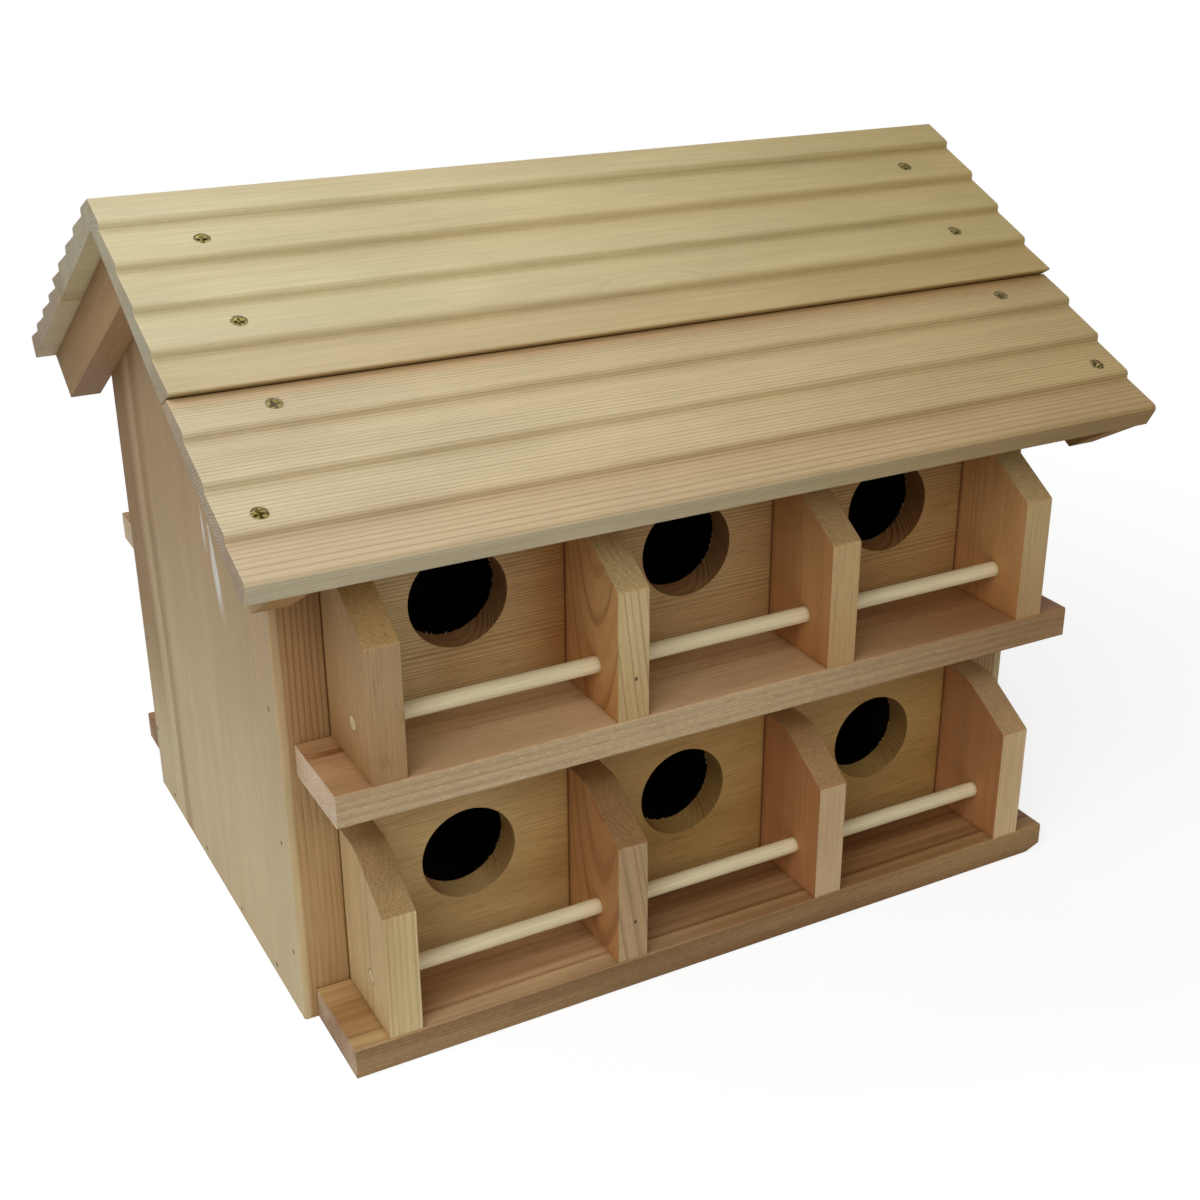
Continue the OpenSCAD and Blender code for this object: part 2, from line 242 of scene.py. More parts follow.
# Base colours of the cedar: earlywood, latewood, and the tint of its broader streaks
STRAW = colour(207, 190, 146), colour(176, 150, 104), colour(198, 177, 130)
ROSE_STRAW = colour(209, 189, 148), colour(144, 100, 70), colour(201, 176, 136)
PALE = colour(200, 176, 134), colour(172, 138, 94), colour(191, 161, 118)
RUSSET = colour(197, 167, 117), colour(126, 90, 54), colour(184, 148, 98)
TAN = colour(196, 162, 106), colour(146, 102, 52), colour(180, 142, 84)
SALMON = colour(188, 152, 106), colour(144, 100, 60), colour(178, 138, 92)
PEACH = colour(206, 158, 102), colour(148, 96, 54), colour(196, 144, 90)
ROSY = colour(192, 142, 90), colour(134, 86, 50), colour(180, 126, 76)
BRICK = colour(186, 132, 84), colour(138, 84, 46), colour(174, 116, 68)
HONEY = colour(208, 180, 134), colour(146, 104, 58), colour(196, 162, 112)
BROWN = colour(210, 176, 134), colour(150, 108, 72), colour(186, 148, 106)
UMBER = colour(196, 160, 120), colour(124, 86, 54), colour(150, 110, 74)
DUN = colour(165, 130, 86), colour(122, 84, 50), colour(149, 113, 72)
CREAM = colour(236, 222, 184), colour(214, 194, 148), colour(226, 208, 166)
# Not a colour of the cedar: near-black painted shade for the boards inside the rooms
SHADE = colour(30, 20, 13), colour(20, 12, 8), colour(24, 16, 10)


class Finish:
    """A material in the making: its tree, the place in the board and the colour reached so far."""

    def __init__(self, name, centre, frame_axes, wood, pith, seed=0.0, ring=2.0, wander=8.0, contrast=0.5,
                 thin=0.3, patch=0.5, even=0.35, streak=0.6, fleck=0.14, lean=0.0, swells=(),
                 end=(0.84, 0.79, 0.70), end_rings=0.3, crease=(0.66, 0.58, 0.44)):
        # The tint of the painted shade in creases
        self.crease = (*crease, 1.0)
        self.material = bpy.data.materials.new(name)
        self.material.use_nodes = True
        tree = self.tree = self.material.node_tree
        tree.nodes.clear()
        grain, width, thickness = frame_axes
        coordinates = add(tree, "TexCoord").outputs
        self.place = coordinates["Object"]
        self.normal = coordinates["Normal"]
        offset = vector(tree, "SUBTRACT", self.place, centre)
        self.along = vector(tree, "DOT_PRODUCT", offset, grain)
        self.across = vector(tree, "DOT_PRODUCT", offset, width)
        self.through = vector(tree, "DOT_PRODUCT", offset, thickness)
        depth = calc(tree, "ADD", self.through, calc(tree, "MULTIPLY", self.along, lean))
        for swell in swells:
            depth = calc(tree, "ADD", depth, self.bulge(*swell))
        board = add(tree, "CombineXYZ", {
            0: calc(tree, "ADD", self.along, seed * 3.7),
            1: calc(tree, "SUBTRACT", self.across, pith[0] * MM),
            2: calc(tree, "SUBTRACT", depth, pith[1] * MM),
        }).outputs[0]
        early, late, tint = wood
        cedar = add(tree, "Group", node_tree=GRAIN)
        for key, value in (
            ("Board", board), ("Grain Normal", vector(tree, "DOT_PRODUCT", self.normal, grain)),
            ("Ring", ring * MM), ("Wander", wander * MM), ("Contrast", contrast), ("Thin", thin),
            ("Patch", patch), ("Even", even), ("Streak", streak), ("Fleck", fleck), ("End Rings", end_rings),
            ("Early", early), ("Late", late), ("Tint", tint), ("End", (*end, 1.0)),
        ):
            put(tree, cedar.inputs[key], value)
        self.board = board
        self.face = calc(tree, "ABSOLUTE", vector(tree, "DOT_PRODUCT", self.normal, thickness))
        self.edge = calc(tree, "ABSOLUTE", vector(tree, "DOT_PRODUCT", self.normal, width))
        self.colour = cedar.outputs["Color"]
        self.roughness = cedar.outputs["Roughness"]
        self.height = cedar.outputs["Height"]

    def bulge(self, x, y, rx, ry, lift):
        """lift at (x, y) millimetres from the middle of the board, falling to nothing rx and ry away."""
        reach = add(self.tree, "CombineXYZ", {
            0: calc(self.tree, "DIVIDE", calc(self.tree, "SUBTRACT", self.along, x * MM), rx * MM),
            1: calc(self.tree, "DIVIDE", calc(self.tree, "SUBTRACT", self.across, y * MM), ry * MM),
        }).outputs[0]
        return spread(self.tree, vector(self.tree, "LENGTH", reach), 1.0, 0.0, 0.0, lift * MM)

    def stain(self, mask, tint, strength=1.0):
        if strength != 1.0:
            mask = calc(self.tree, "MULTIPLY", mask, strength)
        self.colour = blend(self.tree, mask, self.colour, tint)

    def filter(self, mask, tint):
        """Multiplies the colour by tint where mask is 1."""
        self.colour = blend(self.tree, mask, self.colour, (*tint, 1.0), "MULTIPLY")

    def gains(self, mask, tint):
        """Like filter, for a tint that may be over 1."""
        changed = vector(self.tree, "MULTIPLY", self.colour, tint)
        self.colour = blend(self.tree, mask, self.colour, changed)

    def ripple(self, frequency, spread_mm):
        """A length that wavers about zero, with frequency in the board's axes."""
        wave = calc(self.tree, "SUBTRACT", noise(self.tree, self.board, frequency, 2.0), 0.5)
        return calc(self.tree, "MULTIPLY", wave, 2 * spread_mm * MM)

    def lines(self, value, pitch, thin=0.6):
        """Thin lines pitch millimetres apart, where value is constant."""
        phase = calc(self.tree, "FRACT", calc(self.tree, "DIVIDE", value, pitch * MM))
        rise = spread(self.tree, phase, thin, 0.9)
        return calc(self.tree, "MULTIPLY", rise, spread(self.tree, phase, 1.0, 0.94))

    def finish(self):
        tree = self.tree
        # Painted shade: where ambient occlusion finds creases, recesses and joints, the colour is darkened
        # towards the board's crease tint.
        crease = add(tree, "AmbientOcclusion", {"Distance": CREASE_SHADE_REACH}, samples=4).outputs["AO"]
        shown = blend(tree, spread(tree, crease, 0.95, 0.3), self.colour, self.crease, "MULTIPLY")
        soft = add(tree, "Bevel", {"Radius": EASED_EDGE}, samples=4).outputs[0]
        relief = add(
            tree, "Bump",
            {"Height": self.height, "Strength": GRAIN_STRENGTH, "Distance": GRAIN_DEPTH, "Normal": soft},
        ).outputs[0]
        shader = add(tree, "BsdfPrincipled", {
            "Base Color": shown, "Roughness": self.roughness, "Normal": relief,
            "Specular IOR Level": 0.3,
        })
        output = add(tree, "OutputMaterial")
        tree.links.new(shader.outputs[0], output.inputs["Surface"])
        return self.material


def dress(node, finish):
    """Gives a CAD node the finished material."""
    material = finish.finish()
    slots = nodes[node].material_slots
    for slot in slots:
        slot.material = material
    if not slots:
        nodes[node].data.materials.append(material)


def board(node, frame_axes, wood, pith, **looks):
    centre = (low(node) + high(node)) / 2
    return Finish(node + "_cedar", centre, frame_axes, wood, pith, **looks)


def split(tree, place):
    return add(tree, "SeparateXYZ", {0: place}).outputs


# ---------------------------------------------------------------- the boards

# Pale scuffs on the left end wall: the y and z of their upper and lower ends, half width and strength
SCUFFS = (
    ((-0.0515, 0.2690), (-0.0660, 0.2080), 0.0070, 1.0),
    ((-0.0380, 0.2740), (-0.0430, 0.2440), 0.0036, 0.7),
)


def end_walls():
    """Flat-sawn gable boards: pale outside, browner along their edges, with a dark streak near the back.
    Painted shade darkens their faces inside the rooms and their upper parts, and painted light brightens
    their feet.
    """
    for seed, side, node in ((1, -1, "left_end_wall"), (2, 1, "right_end_wall")):
        wood = board(node, UPRIGHT, PALE, (10, -side * 150), seed=seed, ring=2.6, contrast=0.22, streak=0.28,
                     wander=10, crease=(0.78, 0.70, 0.58))
        tree = wood.tree
        x, y, z = split(tree, wood.place)
        inward = calc(tree, "SUBTRACT", WALL_X, calc(tree, "ABSOLUTE", x))
        inward = calc(tree, "ADD", inward, wood.ripple((5, 30, 30), 4))
        wood.gains(spread(tree, inward, 3.5 * MM, 6 * MM), (0.78, 0.66, 0.54))
        waves = wood.lines(calc(tree, "ADD", inward, wood.ripple((9, 60, 60), 2.5)), 3.3, 0.45)
        faded = spread(tree, noise(tree, wood.board, (14, 40, 40), 2.0), 0.36, 0.6, 0.25, 0.9)
        wood.filter(product(tree, spread(tree, wood.edge, 0.7, 0.9), waves, faded,
                            spread(tree, inward, 3 * MM, 7 * MM)), (0.74, 0.58, 0.46))
        # Painted shade: the wall's faces inside the rooms are made near-black.
        room_y = WALL_Y - PANEL_T
        indoor_shade = product(tree, spread(tree, inward, 20 * MM, 22 * MM),
                          spread(tree, calc(tree, "ABSOLUTE", y), room_y + MM, room_y - MM))
        wood.filter(indoor_shade, (0.10, 0.08, 0.06))
        # Painted shade towards the top under the eaves, and painted light from the floor towards the foot.
        wood.gains(spread(tree, z, 0.06, 0.36), (0.69, 0.59, 0.53))
        wood.gains(spread(tree, z, 0.26, 0.02), (1.12, 1.18, 1.24))
        leaning = spread(tree, z, 0.11, 0.25, 0.081, 0.089)
        streak_y = calc(tree, "ADD", leaning, wood.ripple((3, 0, 0), 2.5))
        behind = calc(tree, "SUBTRACT", y, streak_y)
        band = product(tree, spread(tree, behind, 11 * MM, 9 * MM),
                       spread(tree, behind, -13 * MM, 2 * MM))
        outer = spread(tree, wood.face, 0.6, 0.8)
        past = product(tree, spread(tree, behind, 18 * MM, 36 * MM), spread(tree, z, 0.02, 0.16), outer)
        wood.gains(past, (0.59, 0.48, 0.35))
        wood.gains(product(tree, band, outer, 0.9), (0.70, 0.62, 0.50))
        if side < 0:
            rubbed = spread(tree, noise(tree, wood.board, (30, 500, 500), 2.0), 0.34, 0.5, 0.45, 1.0)
            for top, foot, width, strength in SCUFFS:
                fall = spread(tree, z, top[1], foot[1], smooth=False)
                middle = spread(tree, z, top[1], foot[1], top[0], foot[0], smooth=False)
                aside = calc(tree, "ABSOLUTE", calc(tree, "SUBTRACT", y, middle))
                half = calc(tree, "MULTIPLY", spread(tree, fall, 0.0, 0.5, 0.3, 1.0), width)
                within = spread(tree, calc(tree, "DIVIDE", aside, half), 1.0, 0.5)
                ends = calc(tree, "MULTIPLY", spread(tree, fall, 0.0, 0.04), spread(tree, fall, 1.0, 0.5))
                wood.stain(product(tree, within, ends, outer, rubbed), colour(226, 220, 214), strength)
        dress(node, wood)


# Painted bounce light and shade: the panels are darker and redder at the left of the dividers: which divider
# of a storey, and how strongly
PAINTED_BOUNCE = {
    "lower": ((2, 0.15), (3, 0.25), (4, 0.2)),
    "upper": ((2, 1.0), (3, 0.5), (4, 0.35)),
}


def panels():
    """Fine-sawn boards with close level lines; the upper ones are redder."""
    for seed, (side, storey) in enumerate(PORCHES):
        node = f"{side}_{storey}_panel"
        if storey == "upper":
            wood = board(node, FACING, RUSSET, (-330, 120), seed=10 + seed, ring=1.75, contrast=0.6,
                         thin=0.25, patch=0.75, even=0.7, streak=0.6, wander=7, fleck=0.15)
        else:
            wood = board(node, FACING, TAN, (-420, 90), seed=10 + seed, ring=1.9, contrast=0.42, thin=0.2,
                         patch=0.3, even=0.5, streak=0.5, wander=12, fleck=0.2)
        tree = wood.tree
        x = split(tree, wood.place)[0]
        if storey == "lower":
            wood.gains(spread(tree, x, -0.10, -0.02), (0.92, 0.90, 0.80))
            wood.gains(spread(tree, x, -0.09, -0.15), (1.14, 1.26, 1.44))
        else:
            wood.gains(spread(tree, x, 0.06, 0.12), (0.88, 0.80, 0.68))
            wood.gains(spread(tree, x, -0.148, -0.172), (1.22, 1.38, 1.56))
            wood.gains(spread(tree, wood.face, 0.5, 0.2), (0.76, 0.62, 0.56))
        for i, glow in PAINTED_BOUNCE[storey]:
            edge = low(f"{side}_{storey}_divider_{i}").x
            near = calc(tree, "MULTIPLY", spread(tree, x, edge - 42 * MM, edge - 2 * MM),
                        spread(tree, x, edge + 4 * MM, edge + 2 * MM))
            # Painted bounce light and shade: darker and redder just left of each divider.
            wood.gains(calc(tree, "MULTIPLY", near, glow), (0.78, 0.57, 0.40))
            joint = calc(tree, "MULTIPLY", spread(tree, x, edge - 1.6 * MM, edge - 0.4 * MM),
                         spread(tree, x, edge + 2 * MM, edge + MM))
            wood.filter(joint, (0.40, 0.28, 0.18))
        saw = noise(tree, wood.place, (40, 60, 420), 1.0)
        wood.filter(product(tree, spread(tree, saw, 0.55, 0.7), wood.face), (0.90, 0.86, 0.80))
        dress(node, wood)


def shelves():
    """Rough-sawn shelves: banded tops on the lower ones, a dark streak near the left of the upper ones."""
    for seed, (side, storey) in enumerate(PORCHES):
        node = f"{side}_{storey}_shelf"
        palette = BROWN if storey == "upper" else UMBER
        pith = (26, 40) if storey == "upper" else (-30, -55)
        wood = board(node, FLAT, palette, pith, seed=20 + seed, ring=2.4, contrast=0.4,
                     streak=0.5 if storey == "upper" else 1.0, fleck=0.2, end=(1.2, 1.35, 1.7),
                     end_rings=-0.25)
        tree = wood.tree
        front = (0.80, 0.88, 0.92) if storey == "upper" else (0.73, 0.75, 0.65)
        wood.gains(spread(tree, wood.edge, 0.6, 0.9), front)
        if storey == "lower":
            wood.gains(product(tree, wood.edge, spread(tree, wood.along, -0.1, 0.2)), (1.04, 1.00, 0.92))
            edge_y = max(abs(low(node).y), abs(high(node).y))
            back = calc(tree, "SUBTRACT", edge_y, calc(tree, "ABSOLUTE", split(tree, wood.place)[1]))
            back = calc(tree, "ADD", back, wood.ripple((6, 0, 0), 1.5))
            strip = product(tree, spread(tree, back, 12 * MM, 10 * MM), wood.face)
            wood.gains(strip, (0.93, 0.96, 0.93))
            wood.gains(product(tree, strip, spread(tree, wood.along, -0.10, 0.0)), (1.32, 1.42, 1.50))
            line = product(tree, spread(tree, back, 11 * MM, 12 * MM), spread(tree, back, 15 * MM, 13 * MM))
            wood.filter(product(tree, line, wood.face), (0.70, 0.62, 0.54))
            for start, stop, tint in (
                (-0.04, -0.13, (1.28, 1.34, 1.40)), (-0.06, 0.01, (0.74, 0.66, 0.55)),
                (0.02, 0.12, (0.88, 0.82, 0.74)),
            ):
                wood.gains(product(tree, spread(tree, wood.along, start, stop), wood.face), tint)
            bands = noise(tree, wood.board, (2, 70, 0), 1.0)
            wood.gains(product(tree, spread(tree, bands, 0.46, 0.34), wood.face), (1.16, 1.20, 1.22))
            wood.gains(product(tree, spread(tree, bands, 0.52, 0.62), wood.face), (0.84, 0.80, 0.72))
        if storey == "upper":
            wood.gains(spread(tree, wood.along, -0.02, 0.21, smooth=False), (0.67, 0.54, 0.42))
            wood.gains(product(tree, spread(tree, wood.along, 0.08, 0.16), wood.face), (0.88, 0.80, 0.76))
        past = product(tree, spread(tree, wood.along, -0.198, -0.206), spread(tree, wood.face, 0.6, 0.9))
        wood.gains(past, (0.70, 0.60, 0.50) if storey == "upper" else (0.84, 0.82, 0.66))
        slanted = add(tree, "CombineXYZ", {
            0: vector(tree, "DOT_PRODUCT", wood.place, (170, 0, 500)),
            1: vector(tree, "DOT_PRODUCT", wood.place, (-240, 0, 1000)),
        }).outputs[0]
        nap = add(tree, "TexNoise", {"Vector": slanted, "Scale": 1.0, "Detail": 1.0}).outputs["Fac"]
        wood.gains(calc(tree, "MULTIPLY", spread(tree, nap, 0.52, 0.7), wood.edge), (1.22, 1.24, 1.26))
        if storey == "upper":
            heart = calc(tree, "ADD", wood.across, wood.ripple((8, 40, 40), 5))
            stripe = product(tree, spread(tree, heart, 8 * MM, 12 * MM),
                             spread(tree, heart, 24 * MM, 20 * MM))
            near_end = spread(tree, wood.along, -0.19, -0.215)
            ticks = spread(tree, noise(tree, wood.board, (20, 260, 260), 2.0), 0.42, 0.6)
            wood.filter(product(tree, stripe, near_end, ticks, wood.face), (0.55, 0.36, 0.22))
        dress(node, wood)


# Wood, pith in millimetres, looks, and the tints of the front edge and the sloping top, of a storey's four
# dividers from the left
DIVIDERS = {
    "upper": (
        (SALMON, (10, 70), dict(ring=2.0, contrast=0.35, thin=0.25, fleck=0.3), (0.84, 0.88, 0.95),
         (1.02, 1.04, 0.90)),
        (PEACH, (-6, 46), dict(ring=3.4, contrast=0.6, thin=0.55, lean=0.12, patch=0.8), (0.92, 1.28, 1.66),
         (0.92, 1.20, 1.46)),
        (ROSY, (8, 90), dict(ring=3.6, contrast=0.25), (1.08, 1.45, 1.80), (0.95, 1.24, 1.48)),
        (PEACH, (-20, -80), dict(ring=2.2, contrast=0.3), (0.90, 1.20, 1.50), (0.98, 1.30, 1.60)),
    ),
    "lower": (
        (HONEY, (14, -52), dict(ring=2.6, contrast=0.5, thin=0.45, patch=0.7), (1.00, 1.05, 1.04),
         (0.68, 0.62, 0.53)),
        (ROSY, (-10, 28), dict(ring=5.0, contrast=0.6, thin=0.6, lean=0.16, patch=0.8), (0.96, 1.30, 1.80),
         (0.66, 0.74, 0.78)),
        (BRICK, (30, 110), dict(ring=2.4, contrast=0.25), (1.30, 2.00, 3.00), (0.95, 1.24, 1.50)),
        (BRICK, (20, 95), dict(ring=2.8, contrast=0.3), (1.45, 2.30, 3.30), (1.20, 1.70, 2.20)),
    ),
}


def dividers():
    """Dividers of mixed boards, each with its own wood, pith and tints from the table above."""
    for seed, (side, storey) in enumerate(PORCHES):
        for i, (palette, pith, looks, edge_tint, slope_tint) in enumerate(DIVIDERS[storey]):
            node = f"{side}_{storey}_divider_{i + 1}"
            wood = board(node, UPRIGHT, palette, pith, seed=30 + 5 * seed + i, streak=0.5, wander=6,
                         end=slope_tint, end_rings=-0.3, crease=(0.78, 0.70, 0.58), **looks)
            wood.gains(spread(wood.tree, wood.edge, 0.85, 0.97), edge_tint)
            foot = (0.90, 0.80, 0.72) if storey == "upper" else (1.12, 1.15, 1.18)
            wood.gains(spread(wood.tree, wood.along, 0.01, -0.05), foot)
            dress(node, wood)


def perches():
    """Pale dowels, with a dark line where their ends meet the bores."""
    for seed, (side, storey) in enumerate(PORCHES):
        node = f"{side}_{storey}_perch"
        wood = board(node, FLAT, CREAM, (30, 10), seed=50 + seed, ring=1.5, contrast=0.2, fleck=0.1,
                     end=(0.92, 0.86, 0.74))
        tree = wood.tree
        radius = (high(node).z - low(node).z) / 2
        from_axis = vector(tree, "LENGTH", vector(tree, "MULTIPLY", vector(
            tree, "SUBTRACT", wood.place, (low(node) + high(node)) / 2), (0, 1, 1)))
        endward = calc(tree, "ABSOLUTE", vector(tree, "DOT_PRODUCT", wood.normal, FLAT[0]))
        tip = spread(tree, endward, 0.7, 0.9)
        rim = spread(tree, from_axis, radius - 0.9 * MM, radius - 0.3 * MM)
        wood.filter(calc(tree, "MULTIPLY", tip, rim), (0.42, 0.30, 0.20))
        dress(node, wood)


def roof_light_falloff(wood):
    """Painted light falloff: the roof boards are a little greyer towards the left and darker and yellower
    towards the right, where less light falls.
    """
    wood.gains(spread(wood.tree, wood.along, -0.05, -0.28, smooth=False), (0.96, 1.00, 1.08))
    wood.gains(spread(wood.tree, wood.along, -0.05, 0.28, smooth=False), (0.76, 0.70, 0.54))


def distance_down(wood, sign):
    """Distance down the slope from the ridge."""
    from_ridge = vector(wood.tree, "SUBTRACT", wood.place, (0, 0, RIDGE_Z))
    return vector(wood.tree, "DOT_PRODUCT", from_ridge, down_slope(sign))


def roof():
    """Roof boards with close lines: straw above the seam and rosier below it, and duller battens."""
    for sign, side in ((-1, "front"), (1, "back")):
        upper = f"{side}_upper_roof_board"
        wood = board(upper, slope_axes(sign), STRAW, (20, -110), seed=60 + sign, ring=2.8, contrast=0.2,
                     thin=0.3, streak=0.5, fleck=0.06, end=(0.80, 0.82, 0.96),
                     swells=((9 * -sign - 3, 36, 45, 14, 6),))
        tree = wood.tree
        down = distance_down(wood, sign)
        low_rib = calc(tree, "ADD", down, wood.ripple((2, 0, 0), 6))
        wood.gains(spread(tree, low_rib, 0.104, 0.118), (0.90, 0.84, 0.80))
        roof_light_falloff(wood)
        dress(upper, wood)
        lower = f"{side}_lower_roof_board"
        wood = board(lower, slope_axes(sign), ROSE_STRAW, (90, -60), seed=63 + sign, ring=1.65,
                     contrast=0.5, thin=0.58, patch=0.8, even=0.6, streak=0.4, wander=3, fleck=0.06,
                     end=(0.76, 0.74, 0.82), crease=(0.86, 0.80, 0.70))
        tree = wood.tree
        down = distance_down(wood, sign)
        wood.gains(spread(tree, down, SLOPE - 34 * MM, SLOPE - 26 * MM), (0.92, 0.87, 0.86))
        # Painted light just below the seam, lightening the shade under the upper board's edge.
        wood.gains(spread(tree, down, 0.150, 0.142), (1.12, 1.03, 0.98))
        eave = product(tree, spread(tree, wood.edge, 0.7, 0.9),
                       spread(tree, down, SLOPE - 8 * MM, SLOPE - 4 * MM))
        wood.gains(eave, (0.96, 1.08, 1.17))
        wood.gains(product(tree, eave, spread(tree, wood.along, -0.05, 0.25)), (0.80, 0.67, 0.51))
        roof_light_falloff(wood)
        dress(lower, wood)
        for k, end in enumerate(("left", "right")):
            node = f"{side}_{end}_batten"
            dress(node, board(node, slope_axes(sign, True), DUN, (60, 40), seed=70 + sign + 4 * k, ring=2.5,
                              contrast=0.4, end=(1.04, 0.98, 0.76)))


def hidden_boards():
    """Everything inside the rooms, painted near-black as shade, so they show black through the entrances."""
    inside = ("floor_board", "middle_floor", "lower_spine_partition", "upper_spine_partition",
              "lower_cross_partitions", "upper_cross_partitions")
    for seed, node in enumerate(inside):
        dress(node, board(node, FLAT, SHADE, (30, 60), seed=80 + seed))


# ---------------------------------------------------------------- added pieces

def piece(name, mesh_data, *materials, slot="fastener_zinc"):
    """Makes an object of the mesh, fixed to the house."""
    mesh = bpy.data.meshes.new(name)
    mesh_data.to_mesh(mesh)
    mesh_data.free()
    for material in materials:
        mesh.materials.append(material)
    thing = bpy.data.objects.new(name, mesh)
    bpy.context.scene.collection.objects.link(thing)
    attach(thing, "root")
    return thing


def plain(name, base, roughness, metallic=0.0, mottle=0.15, relief=0.1):
    """A simple speckled material."""
    material = bpy.data.materials.new(name)
    material.use_nodes = True
    tree = material.node_tree
    tree.nodes.clear()
    place = add(tree, "TexCoord").outputs["Object"]
    grain = noise(tree, place, (900, 900, 900), 3.0)
    shade = spread(tree, grain, 0.3, 0.7, 1 - mottle, 1 + mottle)
    shown = blend(tree, 1.0, base, grey(tree, shade), "MULTIPLY")
    bump = add(tree, "Bump", {"Height": grain, "Strength": 0.5, "Distance": relief * MM}).outputs[0]
    shader = add(tree, "BsdfPrincipled", {
        "Base Color": shown, "Metallic": metallic, "Normal": bump,
        "Roughness": spread(tree, grain, 0.3, 0.7, roughness - 0.08, roughness + 0.1),
    })
    tree.links.new(shader.outputs[0], add(tree, "OutputMaterial").inputs["Surface"])
    return material


def rib_surface(side, across, down):
    """The point on the roof's top at x across and a distance down the slope."""
    start = Vector((across, 0, RIDGE_Z)) + down * down_slope(side) + 0.05 * out_of_slope(side)
    best = None
    for node in (f"{'front' if side < 0 else 'back'}_{tier}_roof_board" for tier in ("upper", "lower")):
        hit, point, _, _ = nodes[node].ray_cast(start, -out_of_slope(side))
        if hit and (best is None or point.z > best.z):
            best = point
    return best


def recess(x, y, radius):
    """Depth of a cross recess at a point of a screw's head of the given radius."""
    depth = 0.0
    for a, b in ((abs(x), abs(y)), (abs(y), abs(x))):
        length, width = 0.68 * radius, 0.17 * radius
        if a < length and b < width:
            depth = max(depth, (1 - (a / length) ** 3) * 1.9 * MM)
    if math.hypot(x, y) < 0.30 * radius:
        depth = max(depth, 2.0 * MM)
    return depth


def screw_head(mesh_data, centre, across, up, radius, turn, tilt):
    """Countersunk head with a cross recess: a disc whose points are lowered, and its cone below."""
    side = across.cross(up) * -1
    up = (up + tilt).normalized()
    rings, steps = 22, 56
    rows = []
    for i in range(1, rings + 1):
        r = radius * i / rings
        row = []
        for j in range(steps):
            angle = 2 * math.pi * j / steps
            x, y = r * math.cos(angle), r * math.sin(angle)
            u = x * math.cos(turn) + y * math.sin(turn)
            v = y * math.cos(turn) - x * math.sin(turn)
            z = -recess(u, v, radius) - 0.12 * MM * max(0, (r / radius - 0.86) / 0.14) ** 2
            row.append(mesh_data.verts.new(centre + x * across + y * side + z * up))
        rows.append(row)
    rows.append([
        mesh_data.verts.new(centre + 0.45 * radius * (math.cos(2 * math.pi * j / steps) * across
                            + math.sin(2 * math.pi * j / steps) * side) - 2.6 * MM * up)
        for j in range(steps)
    ])
    middle = mesh_data.verts.new(centre - 2.0 * MM * up)
    bottom = mesh_data.verts.new(centre - 2.8 * MM * up)
    for j in range(steps):
        k = (j + 1) % steps
        mesh_data.faces.new((middle, rows[0][j], rows[0][k]))
        for inner, outer in zip(rows, rows[1:]):
            mesh_data.faces.new((inner[j], outer[j], outer[k], inner[k]))
        mesh_data.faces.new((bottom, rows[-1][k], rows[-1][j]))


def sliver(mesh_data, root, tip, side, width):
    """A torn fibre: a narrow four-sided spike from root to tip."""
    along = (tip - root).normalized()
    up = along.cross(side).normalized()
    base = [mesh_data.verts.new(root + 0.5 * width * (a * side + 0.4 * b * up))
            for a, b in ((-1, -1), (1, -1), (1, 1), (-1, 1))]
    point = mesh_data.verts.new(tip)
    mesh_data.faces.new(base[::-1])
    for i in range(4):
        mesh_data.faces.new((base[i], base[(i + 1) % 4], point))


def screw_places():
    """Where each roof screw stands: its side of the ridge, its x and its distance down the slope."""
    wall = (low("right_end_wall").x + high("right_end_wall").x) / 2 - 3.3 * MM
    batten = (low("front_right_batten").x + high("front_right_batten").x) / 2 + 2 * MM
    for side in (-1, 1):
        for across, down in ((wall, 32 * MM), (wall, 95.5 * MM), (wall, SLOPE - 108.5 * MM),
                             (batten, SLOPE - 41.5 * MM)):
            yield side, -across, down
            yield side, across, down


def screws():
    draw = random.Random(11)
    heads, fibres = bmesh.new(), bmesh.new()
    x_axis = Vector((1, 0, 0))
    for side, across, down in screw_places():
        out = out_of_slope(side)
        below = rib_surface(side, across + 7 * MM, down)
        surface = Vector((across, below.y, below.z))
        tilt = Vector((draw.uniform(-0.06, 0.06), draw.uniform(-0.06, 0.06), 0))
        turn = draw.uniform(0, math.pi / 2)
        screw_head(heads, surface - SCREW_SINK * out, x_axis, out, SCREW_R, turn, tilt)
        for end in (-1, 1):
            for _ in range(draw.randint(5, 9)):
                angle = draw.gauss(0, 0.45)
                ray = end * math.cos(angle) * x_axis + math.sin(angle) * down_slope(side)
                root = surface + 4.5 * MM * ray - draw.uniform(0.3, 0.9) * MM * out
                reach = draw.uniform(0.6, 1.7) * MM
                lift = draw.uniform(0.1, 0.7) * MM
                inward = draw.choice((-1, 1, 1))
                tip = root - inward * reach * ray + (lift + 0.4 * MM) * out
                sliver(fibres, root, tip, down_slope(side), draw.uniform(0.25, 0.6) * MM)
    # The strong mottle on the zinc paints bright flecks as glints, with dark specks, on the heads.
    zinc = plain("yellow_zinc", colour(122, 111, 62), 0.34, metallic=0.85, mottle=0.75, relief=0.3)
    piece("roof_screws", heads, zinc)
    piece("screw_fibres", fibres, plain("torn_fibre", colour(224, 204, 158), 0.7), slot="upper_roof_cedar")


